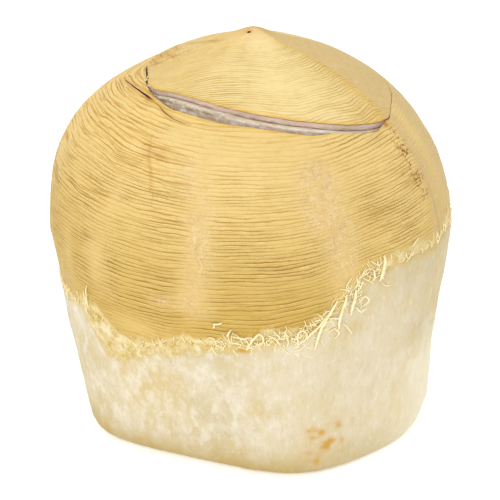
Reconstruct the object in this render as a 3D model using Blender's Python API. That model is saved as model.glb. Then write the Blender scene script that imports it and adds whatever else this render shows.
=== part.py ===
# Trimmed young coconut with its cut lid, standing on its flat base.
# Units are metres, +Z is up and the front of the coconut faces -Y.
# Azimuth is measured from the front, positive towards +X.

import math

import bmesh
import bpy

MM = 0.001

# Outer form of the trimmed nut.
EQUATOR_HEIGHT = 60.0 * MM
EQUATOR_RADIUS = 59.0 * MM
DOME_RISE = 55.0 * MM
TIP_RISE = 3.5 * MM
TIP_SPREAD = 4.4 * MM
TIP_ROUND = 4.5 * MM
RIDGE_AZIMUTHS = (60.0, 170.0, 271.0)
SIDE_HOLLOW = 0.030
SIDE_HOLLOW_ABOVE = 0.010
SIDE_HOLLOW_POWER = 0.6
BACK_HOLLOW_SHARE = 0.1
CREST_RISE = 0.8 * MM
CREST_SPREAD = 5.0 * MM
SHOULDER_AZIMUTH = -90.0
SHOULDER_SPREAD = 40.0
SHOULDER_RISE = 3.3 * MM
SHOULDER_WAIST = 2.15 * MM
SHOULDER_DIP = 1.9 * MM
DIP_RADIUS = 26.4 * MM
DIP_SPREAD = 11.0 * MM

# Knife-cut trunk: azimuth of each face and its distance from the axis at the base.
TRUNK_FACES = (
    (-84.0, 51.4 * MM),
    (-20.8, 45.0 * MM),
    (32.2, 52.4 * MM),
    (92.0, 51.0 * MM),
    (149.7, 48.0 * MM),
    (210.9, 46.0 * MM),
)
TRUNK_CORNER = 8.6
TRUNK_LOFT = 1.04
BASE_FILLET = 3.5 * MM

# Upper edge of the husk, where the bare shell begins.
HUSK_EDGE_LEFT = 45.0 * MM
HUSK_EDGE_FRONT_RISE = 4.0 * MM
HUSK_EDGE_RIGHT_RISE = 17.0 * MM
HUSK_TEAR_DIP = 4.5 * MM
HUSK_EDGE_THICKNESS = 1.2 * MM

# Wall layers, as depths under the outer surface.
GAP = 0.3 * MM
RIM_SHELL = 1.4 * MM
BODY_SHELL = 3.4 * MM
FLESH = 6.0 * MM
NUT_BOTTOM_RISE = 50.0 * MM
WATER_LEVEL = 93.0 * MM

# Cut of the lid: azimuths and how far up the dome its edge lies there, in degrees of turn.
LID_EDGE = (
    (-105.0, 62.3),
    (-80.0, 61.3),
    (-59.0, 57.4),
    (-44.0, 57.9),
    (-28.0, 57.1),
    (-5.0, 54.4),
    (22.0, 50.2),
    (44.0, 46.2),
    (58.0, 44.8),
    (70.0, 46.8),
    (92.0, 49.3),
    (140.0, 55.5),
    (195.0, 61.0),
)
LID_LIFT = 0.7 * MM
LID_LIFT_AZIMUTH = -105.0
SEAM = 0.35 * MM
NOTCH = 4.9 * MM
NOTCH_OVERHANG = 0.35 * MM
FLESH_LEDGE = 2.2 * MM
CUT_DEPTH = 4.9 * MM

# Facets round the axis, and rows along each part of the profile.
SEGMENTS = 60
FINE = 1e-6


def smooth_step(u):
    u = min(max(u, 0.0), 1.0)
    return u * u * (3.0 - 2.0 * u)


def turn_from(azimuth, centre):
    return (azimuth - centre + 180.0) % 360.0 - 180.0


def front_turn(azimuth):
    return (azimuth + 90.0) % 360.0 - 90.0


def hollow(azimuth):
    ridges = RIDGE_AZIMUTHS
    for index, low in enumerate(ridges):
        high = ridges[(index + 1) % len(ridges)]
        span = (high - low) % 360.0
        part = (azimuth - low) % 360.0
        if part < span:
            share = 1.0 if index == 2 else BACK_HOLLOW_SHARE
            return share * math.sin(math.pi * part / span) ** SIDE_HOLLOW_POWER
    return 0.0


def crest(azimuth, radius):
    total = 0.0
    for ridge in RIDGE_AZIMUTHS:
        away = abs(math.radians(turn_from(azimuth, ridge))) * radius
        total += math.exp(-away / CREST_SPREAD)
    return total


def shoulder(azimuth):
    return math.exp(-(turn_from(azimuth, SHOULDER_AZIMUTH) / SHOULDER_SPREAD) ** 2)


def dome_point(azimuth, turn):
    flat = EQUATOR_RADIUS * math.cos(turn)
    depth = SIDE_HOLLOW + SIDE_HOLLOW_ABOVE * math.sin(turn) ** 2
    radius = flat * (1.0 - depth * hollow(azimuth))
    lobe = math.sin(2.0 * turn) ** 2
    radius += shoulder(azimuth) * (SHOULDER_RISE * lobe + SHOULDER_WAIST * math.cos(turn) ** 4)
    radius += CREST_RISE * crest(azimuth, flat) * lobe
    height = EQUATOR_HEIGHT + DOME_RISE * math.sin(turn)
    height -= SHOULDER_DIP * shoulder(azimuth) * math.exp(-(((flat - DIP_RADIUS) / DIP_SPREAD) ** 2))
    blunt = math.hypot(flat, TIP_ROUND) - TIP_ROUND
    return radius, height + TIP_RISE * math.exp(-blunt / TIP_SPREAD)


def base_radius(azimuth):
    total = 0.0
    for face, distance in TRUNK_FACES:
        lean = math.cos(math.radians(azimuth - face))
        if lean > 0.05:
            total += (lean / distance) ** TRUNK_CORNER
    return total ** (-1.0 / TRUNK_CORNER)


def trunk_radius(azimuth, height):
    top = dome_point(azimuth, 0.0)[0]
    share = 1.0 - (1.0 - height / EQUATOR_HEIGHT) ** TRUNK_LOFT
    low = base_radius(azimuth)
    radius = low + (top - low) * share
    edge = min(max(BASE_FILLET - height, 0.0), BASE_FILLET)
    return radius - BASE_FILLET + math.sqrt(BASE_FILLET ** 2 - edge ** 2)


def skin_point(azimuth, level):
    """Outer surface: level -1 is the base, 0 the equator and 1 the apex."""
    if level >= 0.0:
        return dome_point(azimuth, level * math.pi / 2.0)
    height = EQUATOR_HEIGHT * (1.0 + level)
    return trunk_radius(azimuth, height), height


def nut_point(azimuth, level):
    """Round nut inside the husk, the same as the outer surface above the equator."""
    if level >= 0.0:
        return dome_point(azimuth, level * math.pi / 2.0)
    turn = level * math.pi / 2.0
    height = EQUATOR_HEIGHT + NUT_BOTTOM_RISE * math.sin(turn)
    egg = dome_point(azimuth, 0.0)[0] * math.cos(turn)
    trunk = trunk_radius(azimuth, height)
    power = 24.0
    return (egg ** -power + trunk ** -power) ** (-1.0 / power), height


def inset(profile, azimuth, level, depth):
    """Point at a depth under a profile, along the profile's own normal."""
    step = 1e-3
    low = profile(azimuth, level - step)
    high = profile(azimuth, min(level + step, 1.0 - FINE))
    run = high[0] - low[0]
    rise = high[1] - low[1]
    length = math.hypot(run, rise)
    radius, height = profile(azimuth, level)
    return radius - depth * rise / length, height + depth * run / length


def level_at(profile, azimuth, height, depth=0.0):
    low, high = -0.999, 0.999
    for _ in range(40):
        middle = (low + high) / 2.0
        if inset(profile, azimuth, middle, depth)[1] < height:
            low = middle
        else:
            high = middle
    return (low + high) / 2.0


def husk_edge(azimuth):
    turn = front_turn(azimuth)
    height = HUSK_EDGE_LEFT
    height += HUSK_EDGE_FRONT_RISE * smooth_step((turn + 45.0) / 60.0)
    height += HUSK_EDGE_RIGHT_RISE * smooth_step((turn - 10.0) / 24.0)
    back = smooth_step((turn - 140.0) / 60.0)
    height -= (HUSK_EDGE_FRONT_RISE + HUSK_EDGE_RIGHT_RISE) * back
    height -= HUSK_TEAR_DIP * math.exp(-((turn + 36.0) / 9.0) ** 2)
    height += 0.5 * HUSK_TEAR_DIP * math.exp(-((turn + 56.0) / 9.0) ** 2)
    height += 0.5 * MM * math.sin(math.radians(11.0 * turn))
    return height


def notch_share(azimuth):
    """Opening between the rim and the lid: wide on the left, half as wide on the right."""
    turn = turn_from(azimuth, 0.0)
    ends = smooth_step((turn + 64.0) / 28.0) * (1.0 - smooth_step((turn - 49.0) / 10.0))
    return ends * (1.0 - 0.2 * smooth_step((turn + 16.0) / 20.0) - 0.3 * smooth_step((turn - 22.0) / 12.0))


def lid_lift(azimuth):
    lean = math.cos(math.radians(turn_from(azimuth, LID_LIFT_AZIMUTH)))
    return LID_LIFT * max(0.0, lean) ** 2


def smooth_through(knots, azimuth):
    """Smooth closed curve through (azimuth, value) knots."""
    count = len(knots)
    for index, (start, value) in enumerate(knots):
        later, after = knots[(index + 1) % count]
        span = (later - start) % 360.0
        part = (azimuth - start) % 360.0
        if part < span:
            before = knots[index - 1]
            beyond = knots[(index + 2) % count]
            leaving = (after - before[1]) / ((later - before[0]) % 360.0) * span
            arriving = (beyond[1] - value) / ((beyond[0] - start) % 360.0) * span
            u = part / span
            bent = (value - after) * 2.0 + leaving + arriving
            eased = (after - value) * 3.0 - 2.0 * leaving - arriving
            return value + u * (leaving + u * (eased + u * bent))
    return knots[0][1]


def lid_level(azimuth):
    """Level of the lid's edge on the dome."""
    return smooth_through(LID_EDGE, azimuth) / 90.0


def rim_level(azimuth):
    """Level of the body's rim below the lid, lower where the rim is notched."""
    drop = SEAM + NOTCH * notch_share(azimuth)
    edge = lid_level(azimuth)
    here = skin_point(azimuth, edge)
    below = skin_point(azimuth, edge - 0.01)
    return edge - 0.01 * drop / math.hypot(below[0] - here[0], below[1] - here[1])


def upright_wall(azimuth, level):
    """Height that a layer as thick as the rim takes up in an upright cut."""
    radius, height = skin_point(azimuth, level)
    inner = inset(skin_point, azimuth, level, RIM_SHELL)
    return RIM_SHELL ** 2 / (height - inner[1])


def lid_wall(azimuth):
    """Radius, top and foot of the lid's cut edge."""
    edge = lid_level(azimuth)
    radius, height = skin_point(azimuth, edge)
    height += lid_lift(azimuth)
    wall = radius - 0.1 * MM - NOTCH_OVERHANG * notch_share(azimuth)
    return wall, height - GAP, height - upright_wall(azimuth, edge)


def cut_height(azimuth):
    return skin_point(azimuth, lid_level(azimuth))[1] - CUT_DEPTH


def spread(first, last, count):
    return [first + (last - first) * k / (count - 1) for k in range(count)]


def azimuths():
    return [360.0 * k / SEGMENTS - 90.0 for k in range(SEGMENTS)]


def closed_body(name, column, poles, colour, roughness):
    """One closed mesh from the same number of profile points at each azimuth."""
    mesh = bpy.data.meshes.new(name)
    shape = bmesh.new()
    columns = []
    for azimuth in azimuths():
        turn = math.radians(azimuth)
        line = []
        for radius, height in column(azimuth):
            spot = (radius * math.sin(turn), -radius * math.cos(turn), height)
            line.append(shape.verts.new(spot))
        columns.append(line)
    first = shape.verts.new((0.0, 0.0, poles[0]))
    last = shape.verts.new((0.0, 0.0, poles[1]))
    for index, line in enumerate(columns):
        beside = columns[(index + 1) % len(columns)]
        shape.faces.new((first, line[0], beside[0]))
        shape.faces.new((last, beside[-1], line[-1]))
        for row in range(len(line) - 1):
            corners = (line[row], line[row + 1], beside[row + 1], beside[row])
            shape.faces.new(corners)
    bmesh.ops.triangulate(shape, faces=shape.faces)
    bmesh.ops.recalc_face_normals(shape, faces=shape.faces)
    shape.to_mesh(mesh)
    shape.free()
    thing = bpy.data.objects.new(name, mesh)
    bpy.context.scene.collection.objects.link(thing)
    mesh.shade_smooth()
    mesh.set_sharp_from_angle(angle=math.radians(35.0))
    surface = bpy.data.materials.new(name)
    surface.use_nodes = True
    settings = surface.node_tree.nodes["Principled BSDF"].inputs
    settings["Base Color"].default_value = (*colour, 1.0)
    settings["Roughness"].default_value = roughness
    settings["Metallic"].default_value = 0.0
    surface.diffuse_color = (*colour, 1.0)
    mesh.materials.append(surface)
    return thing


def nut_levels(azimuth, top, count):
    return spread(-0.93, top, count)


INNER_LEVELS = spread(-0.93, 0.45, 9)
BURIED_ROWS = 7


def husk_column(azimuth):
    edge = husk_edge(azimuth)
    line = [skin_point(azimuth, -1.0)]
    for height in (0.4 * MM, 1.4 * MM, BASE_FILLET):
        line.append((trunk_radius(azimuth, height), height))
    top = level_at(skin_point, azimuth, edge)
    for level in spread(BASE_FILLET / EQUATOR_HEIGHT - 1.0, top, 7)[1:]:
        line.append(skin_point(azimuth, level))
    mouth = level_at(nut_point, azimuth, edge, HUSK_EDGE_THICKNESS)
    for level in reversed(spread(-0.93, mouth, BURIED_ROWS)):
        line.append(inset(nut_point, azimuth, level, HUSK_EDGE_THICKNESS))
    return line


def shell_column(azimuth):
    line = []
    for level in INNER_LEVELS:
        line.append(inset(nut_point, azimuth, level, BODY_SHELL))
    rim = rim_level(azimuth)
    radius, height = skin_point(azimuth, rim)
    line.append((radius, height - upright_wall(azimuth, rim)))
    ledge = husk_edge(azimuth) + GAP
    foot = level_at(skin_point, azimuth, ledge)
    for level in spread(rim, foot, 13):
        line.append(skin_point(azimuth, level))
    buried = HUSK_EDGE_THICKNESS + GAP
    mouth = level_at(nut_point, azimuth, ledge, buried)
    for level in reversed(spread(-0.93, mouth, BURIED_ROWS)):
        line.append(inset(nut_point, azimuth, level, buried))
    return line


def cut_ring(azimuth, cut, depth):
    """Point of a layer at the height of the cut through it."""
    level = level_at(nut_point, azimuth, cut, depth)
    return inset(nut_point, azimuth, level, depth)[0], cut


def flesh_column(azimuth):
    cut = cut_height(azimuth)
    outside = BODY_SHELL + GAP
    inside = outside + FLESH
    line = []
    for level in INNER_LEVELS:
        line.append(inset(nut_point, azimuth, level, inside))
    line.append(cut_ring(azimuth, cut, inside))
    line.append(cut_ring(azimuth, cut, outside))
    for level in reversed(INNER_LEVELS):
        line.append(inset(nut_point, azimuth, level, outside))
    return line


def water_column(azimuth):
    inside = BODY_SHELL + GAP + FLESH
    low = inset(nut_point, azimuth, INNER_LEVELS[-1], inside)
    high = cut_ring(azimuth, cut_height(azimuth), inside)
    share = (WATER_LEVEL - low[1]) / (high[1] - low[1])
    shore = low[0] + (high[0] - low[0]) * share
    line = [(shore - 1.5 * GAP, WATER_LEVEL)]
    for level in reversed(INNER_LEVELS):
        line.append(inset(nut_point, azimuth, level, inside + GAP))
    return line


def lid_levels(azimuth, count):
    return spread(0.97, lid_level(azimuth), count)


def raised(azimuth, point, share):
    return point[0], point[1] + lid_lift(azimuth) * share


def lid_shell_column(azimuth):
    line = []
    for index, level in enumerate(lid_levels(azimuth, 9)):
        line.append(raised(azimuth, skin_point(azimuth, level), index / 8.0))
    wall, top, foot = lid_wall(azimuth)
    line.append((wall, top))
    line.append((wall, foot))
    under = lid_levels(azimuth, 6)[:-1]
    for index, level in reversed(list(enumerate(under))):
        spot = inset(skin_point, azimuth, level, RIM_SHELL)
        line.append(raised(azimuth, spot, index / 5.0))
    return line


def lid_flesh_column(azimuth):
    line = []
    under = lid_levels(azimuth, 6)[:-1]
    for index, level in enumerate(under):
        spot = inset(skin_point, azimuth, level, RIM_SHELL + GAP)
        line.append(raised(azimuth, spot, index / 5.0))
    wall, top, foot = lid_wall(azimuth)
    cut = cut_height(azimuth) + GAP
    inside = BODY_SHELL + GAP + FLESH
    ledge = wall - 0.1 * MM + FLESH_LEDGE * notch_share(azimuth)
    line.append((wall - 0.2 * MM, foot - GAP))
    line.append((ledge, foot - 1.5 * GAP))
    line.append((ledge, cut))
    line.append(cut_ring(azimuth, cut, inside))
    mouth = level_at(nut_point, azimuth, cut, inside)
    for level in spread(mouth, 0.93, 5)[1:]:
        line.append(inset(nut_point, azimuth, level, RIM_SHELL + FLESH))
    return line


def mean_height(column, row):
    heights = [column(azimuth)[row][1] for azimuth in azimuths()]
    return sum(heights) / len(heights)


def main():
    for thing in list(bpy.data.objects):
        bpy.data.objects.remove(thing, do_unlink=True)
    apex = EQUATOR_HEIGHT + DOME_RISE + TIP_RISE
    bottom = EQUATOR_HEIGHT - NUT_BOTTOM_RISE
    buried = HUSK_EDGE_THICKNESS
    closed_body("husk", husk_column, (0.0, bottom + buried), (0.79, 0.70, 0.52), 0.7)
    closed_body(
        "shell",
        shell_column,
        (bottom + BODY_SHELL, bottom + buried + GAP),
        (0.72, 0.48, 0.17),
        0.45,
    )
    outside = BODY_SHELL + GAP
    closed_body(
        "flesh",
        flesh_column,
        (bottom + outside + FLESH, bottom + outside),
        (0.86, 0.83, 0.76),
        0.4,
    )
    closed_body(
        "coconut_water",
        water_column,
        (WATER_LEVEL, bottom + outside + FLESH + GAP),
        (0.80, 0.80, 0.74),
        0.05,
    )
    closed_body(
        "lid_shell",
        lid_shell_column,
        (apex, mean_height(lid_shell_column, -1) + 0.2 * MM),
        (0.76, 0.54, 0.21),
        0.45,
    )
    closed_body(
        "lid_flesh",
        lid_flesh_column,
        (mean_height(lid_flesh_column, 0) + 0.1 * MM, mean_height(lid_flesh_column, -1)),
        (0.86, 0.83, 0.76),
        0.4,
    )


main()
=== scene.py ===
import math

import bpy
import numpy as np
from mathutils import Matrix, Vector


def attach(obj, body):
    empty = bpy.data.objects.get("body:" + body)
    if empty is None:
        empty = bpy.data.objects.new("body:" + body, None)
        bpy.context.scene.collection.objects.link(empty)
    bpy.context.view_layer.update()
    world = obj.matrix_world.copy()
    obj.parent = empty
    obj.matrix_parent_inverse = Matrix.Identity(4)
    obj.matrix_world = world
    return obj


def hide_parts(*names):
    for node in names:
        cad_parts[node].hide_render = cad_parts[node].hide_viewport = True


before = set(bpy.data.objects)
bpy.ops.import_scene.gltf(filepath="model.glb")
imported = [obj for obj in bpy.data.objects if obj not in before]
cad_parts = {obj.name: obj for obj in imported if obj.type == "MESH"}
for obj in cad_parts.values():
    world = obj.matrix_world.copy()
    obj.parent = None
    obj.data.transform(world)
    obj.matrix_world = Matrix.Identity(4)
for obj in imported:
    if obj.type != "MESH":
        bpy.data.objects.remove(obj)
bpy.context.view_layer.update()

MM = 0.001

# Form of the nut, the same named sizes as in the part's source.
EQUATOR_HEIGHT = 60.0 * MM
EQUATOR_RADIUS = 59.0 * MM
DOME_RISE = 55.0 * MM
TIP_RISE = 3.5 * MM
TIP_SPREAD = 4.4 * MM
TIP_ROUND = 4.5 * MM
RIDGE_AZIMUTHS = (60.0, 170.0, 271.0)
SIDE_HOLLOW = 0.030
SIDE_HOLLOW_ABOVE = 0.010
SIDE_HOLLOW_POWER = 0.6
BACK_HOLLOW_SHARE = 0.1
CREST_RISE = 0.8 * MM
CREST_SPREAD = 5.0 * MM
SHOULDER_AZIMUTH = -90.0
SHOULDER_SPREAD = 40.0
SHOULDER_RISE = 3.3 * MM
SHOULDER_WAIST = 2.15 * MM
SHOULDER_DIP = 1.9 * MM
DIP_RADIUS = 26.4 * MM
DIP_SPREAD = 11.0 * MM
TRUNK_FACES = (
    (-84.0, 51.4 * MM),
    (-20.8, 45.0 * MM),
    (32.2, 52.4 * MM),
    (92.0, 51.0 * MM),
    (149.7, 48.0 * MM),
    (210.9, 46.0 * MM),
)
TRUNK_CORNER = 8.6
TRUNK_LOFT = 1.04
BASE_FILLET = 3.5 * MM
HUSK_EDGE_LEFT = 45.0 * MM
HUSK_EDGE_FRONT_RISE = 4.0 * MM
HUSK_EDGE_RIGHT_RISE = 17.0 * MM
HUSK_TEAR_DIP = 4.5 * MM
GAP = 0.3 * MM
RIM_SHELL = 1.4 * MM
LID_EDGE = (
    (-105.0, 62.3),
    (-80.0, 61.3),
    (-59.0, 57.4),
    (-44.0, 57.9),
    (-28.0, 57.1),
    (-5.0, 54.4),
    (22.0, 50.2),
    (44.0, 46.2),
    (58.0, 44.8),
    (70.0, 46.8),
    (92.0, 49.3),
    (140.0, 55.5),
    (195.0, 61.0),
)
LID_LIFT = 0.7 * MM
LID_LIFT_AZIMUTH = -105.0
SEAM = 0.35 * MM
NOTCH = 4.9 * MM
NOTCH_OVERHANG = 0.35 * MM
FLESH_LEDGE = 2.2 * MM
CUT_DEPTH = 4.9 * MM
PROFILE_SAMPLES = 400


def smooth_step(u):
    u = np.clip(u, 0.0, 1.0)
    return u * u * (3.0 - 2.0 * u)


def turn_from(azimuth, centre):
    return (azimuth - centre + 180.0) % 360.0 - 180.0


def bell(away, spread):
    return np.exp(-((away / spread) ** 2))


def sector(azimuth, centre, spread):
    """Soft share that falls away to both sides of an azimuth."""
    return bell(turn_from(azimuth, centre), spread)


def shoulder(azimuth):
    return sector(azimuth, SHOULDER_AZIMUTH, SHOULDER_SPREAD)


def hollow(azimuth):
    out = np.zeros_like(azimuth)
    for index, low in enumerate(RIDGE_AZIMUTHS):
        span = (RIDGE_AZIMUTHS[(index + 1) % 3] - low) % 360.0
        part = (azimuth - low) % 360.0
        share = 1.0 if index == 2 else BACK_HOLLOW_SHARE
        dip = share * np.abs(np.sin(np.pi * part / span)) ** SIDE_HOLLOW_POWER
        out = np.where(part < span, dip, out)
    return out


def crest(azimuth, radius):
    total = 0.0
    for ridge in RIDGE_AZIMUTHS:
        away = np.abs(np.radians(turn_from(azimuth, ridge))) * radius
        total = total + np.exp(-away / CREST_SPREAD)
    return total


def dome_point(azimuth, turn):
    flat = EQUATOR_RADIUS * np.cos(turn)
    depth = SIDE_HOLLOW + SIDE_HOLLOW_ABOVE * np.sin(turn) ** 2
    radius = flat * (1.0 - depth * hollow(azimuth))
    lobe = np.sin(2.0 * turn) ** 2
    side = shoulder(azimuth)
    radius = radius + side * (SHOULDER_RISE * lobe + SHOULDER_WAIST * np.cos(turn) ** 4)
    radius = radius + CREST_RISE * crest(azimuth, flat) * lobe
    height = EQUATOR_HEIGHT + DOME_RISE * np.sin(turn)
    height = height - SHOULDER_DIP * side * bell(flat - DIP_RADIUS, DIP_SPREAD)
    blunt = np.hypot(flat, TIP_ROUND) - TIP_ROUND
    return radius, height + TIP_RISE * np.exp(-blunt / TIP_SPREAD)


def trunk_radius(azimuth, height):
    total = 0.0
    for face, distance in TRUNK_FACES:
        lean = np.maximum(np.cos(np.radians(azimuth - face)), 0.05)
        total = total + (lean / distance) ** TRUNK_CORNER
    low = total ** (-1.0 / TRUNK_CORNER)
    top = dome_point(azimuth, 0.0)[0]
    rest = np.clip(1.0 - height / EQUATOR_HEIGHT, 0.0, 1.0)
    radius = low + (top - low) * (1.0 - rest ** TRUNK_LOFT)
    edge = np.clip(BASE_FILLET - height, 0.0, BASE_FILLET)
    return radius - BASE_FILLET + np.sqrt(BASE_FILLET ** 2 - edge ** 2)


def skin_point(azimuth, level):
    """Outer surface: level -1 is the base, 0 the equator and 1 the apex."""
    above = dome_point(azimuth, np.maximum(level, 0.0) * np.pi / 2.0)
    height = EQUATOR_HEIGHT * (1.0 + np.minimum(level, 0.0))
    below = trunk_radius(azimuth, height)
    up = level >= 0.0
    return np.where(up, above[0], below), np.where(up, above[1], height)


def skin_normal(azimuth, level):
    step = 1e-3
    low = skin_point(azimuth, level - step)
    high = skin_point(azimuth, np.minimum(level + step, 1.0 - 1e-6))
    run = high[0] - low[0]
    rise = high[1] - low[1]
    length = np.hypot(run, rise)
    return rise / length, -run / length


def place(azimuth, level, out):
    """Points of the outer surface, moved out along its normal."""
    radius, height = skin_point(azimuth, level)
    across, up = skin_normal(azimuth, level)
    return xyz(azimuth, radius + across * out, height + up * out)


def xyz(azimuth, radius, height):
    turn = np.radians(azimuth)
    parts = (radius * np.sin(turn), -radius * np.cos(turn), height + 0.0 * turn)
    return np.stack(np.broadcast_arrays(*parts), -1)


def level_at(azimuth, height):
    low = np.full_like(azimuth, -0.999)
    high = np.full_like(azimuth, 0.999)
    for _ in range(30):
        middle = (low + high) / 2.0
        under = skin_point(azimuth, middle)[1] < height
        low = np.where(under, middle, low)
        high = np.where(under, high, middle)
    return (low + high) / 2.0


def arc_of(level):
    """Length along the front's profile from the equator, negative below it."""
    turns = np.linspace(0.0, np.pi / 2.0, PROFILE_SAMPLES)
    radius, height = dome_point(np.zeros_like(turns), turns)
    steps = np.hypot(np.diff(radius), np.diff(height))
    table = np.concatenate([[0.0], np.cumsum(steps)])
    above = np.interp(np.maximum(level, 0.0), turns / (np.pi / 2.0), table)
    return above + np.minimum(level, 0.0) * EQUATOR_HEIGHT


def husk_edge(azimuth):
    turn = (azimuth + 90.0) % 360.0 - 90.0
    height = HUSK_EDGE_LEFT + HUSK_EDGE_FRONT_RISE * smooth_step((turn + 45.0) / 60.0)
    height = height + HUSK_EDGE_RIGHT_RISE * smooth_step((turn - 10.0) / 24.0)
    back = smooth_step((turn - 140.0) / 60.0)
    height = height - (HUSK_EDGE_FRONT_RISE + HUSK_EDGE_RIGHT_RISE) * back
    height = height - HUSK_TEAR_DIP * bell(turn + 36.0, 9.0)
    height = height + 0.5 * HUSK_TEAR_DIP * bell(turn + 56.0, 9.0)
    return height + 0.5 * MM * np.sin(np.radians(11.0 * turn))


def notch_share(azimuth):
    """Opening between the rim and the lid: wide on the left, half as wide on the right."""
    turn = turn_from(azimuth, 0.0)
    ends = smooth_step((turn + 64.0) / 28.0) * (1.0 - smooth_step((turn - 49.0) / 10.0))
    return ends * (1.0 - 0.2 * smooth_step((turn + 16.0) / 20.0) - 0.3 * smooth_step((turn - 22.0) / 12.0))


def lid_lift(azimuth):
    lean = np.cos(np.radians(turn_from(azimuth, LID_LIFT_AZIMUTH)))
    return LID_LIFT * np.maximum(0.0, lean) ** 2


def smooth_through(knots, azimuth):
    """Smooth closed curve through (azimuth, value) knots."""
    count = len(knots)
    out = np.zeros_like(azimuth)
    for index, (start, value) in enumerate(knots):
        later, after = knots[(index + 1) % count]
        before = knots[index - 1]
        beyond = knots[(index + 2) % count]
        span = (later - start) % 360.0
        part = (azimuth - start) % 360.0
        leaving = (after - before[1]) / ((later - before[0]) % 360.0) * span
        arriving = (beyond[1] - value) / ((beyond[0] - start) % 360.0) * span
        u = part / span
        bent = (value - after) * 2.0 + leaving + arriving
        eased = (after - value) * 3.0 - 2.0 * leaving - arriving
        out = np.where(part < span, value + u * (leaving + u * (eased + u * bent)), out)
    return out


def lid_level(azimuth):
    return smooth_through(LID_EDGE, azimuth) / 90.0


def rim_level(azimuth):
    drop = SEAM + NOTCH * notch_share(azimuth)
    edge = lid_level(azimuth)
    here = skin_point(azimuth, edge)
    below = skin_point(azimuth, edge - 0.01)
    return edge - 0.01 * drop / np.hypot(below[0] - here[0], below[1] - here[1])


def upright_wall(azimuth, level):
    """Height of the shell in an upright cut at a level."""
    return RIM_SHELL / skin_normal(azimuth, level)[1]


class Noise:
    """Smooth random values over azimuth and length, the same on each run."""

    def __init__(self, seed, cell_degrees, cell_length):
        self.columns = max(3, int(round(360.0 / cell_degrees)))
        self.length = cell_length
        self.values = np.random.default_rng(seed).uniform(-1.0, 1.0, (self.columns, 512))

    def __call__(self, azimuth, length):
        u = (azimuth % 360.0) / 360.0 * self.columns
        v = length / self.length + 200.0
        i = np.floor(u).astype(int)
        j = np.floor(v).astype(int)
        fu = smooth_step(u - i)
        fv = smooth_step(v - j)
        j = np.clip(j, 0, 510)
        a, b = i % self.columns, (i + 1) % self.columns
        low = self.values[a, j] * (1.0 - fu) + self.values[b, j] * fu
        high = self.values[a, j + 1] * (1.0 - fu) + self.values[b, j + 1] * fu
        return low * (1.0 - fv) + high * fv


def in_grid(points):
    """Faces of a grid of rows that closes round the axis."""
    rows, count = points.shape[:2]
    first = np.arange(rows - 1)[:, None] * count
    here = np.arange(count)[None, :]
    beside = (here + 1) % count
    quads = np.stack([first + here, first + count + here, first + count + beside, first + beside], -1)
    return quads.reshape(-1, 4)


def build(name, points, faces, marks, materials, face_slots=None, sharp=None):
    """A smooth-shaded mesh piece with float marks on its points."""
    mesh = bpy.data.meshes.new(name)
    flat = points.reshape(-1, 3)
    mesh.vertices.add(len(flat))
    mesh.vertices.foreach_set("co", flat.astype(np.float32).ravel())
    sides = faces.shape[1]
    mesh.loops.add(faces.size)
    mesh.loops.foreach_set("vertex_index", faces.astype(np.int32).ravel())
    mesh.polygons.add(len(faces))
    mesh.polygons.foreach_set("loop_start", np.arange(0, faces.size, sides, dtype=np.int32))
    for key, values in marks.items():
        layer = mesh.attributes.new(key, "FLOAT", "POINT")
        layer.data.foreach_set("value", np.asarray(values, dtype=np.float32).ravel())
    for surface in materials:
        mesh.materials.append(surface)
    if face_slots is not None:
        mesh.polygons.foreach_set("material_index", np.asarray(face_slots, dtype=np.int32))
    mesh.update(calc_edges=True)
    mesh.shade_smooth()
    if sharp is not None:
        mesh.set_sharp_from_angle(angle=math.radians(sharp))
    mesh.validate()
    thing = bpy.data.objects.new(name, mesh)
    bpy.context.scene.collection.objects.link(thing)
    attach(thing, "root")
    return thing


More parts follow.
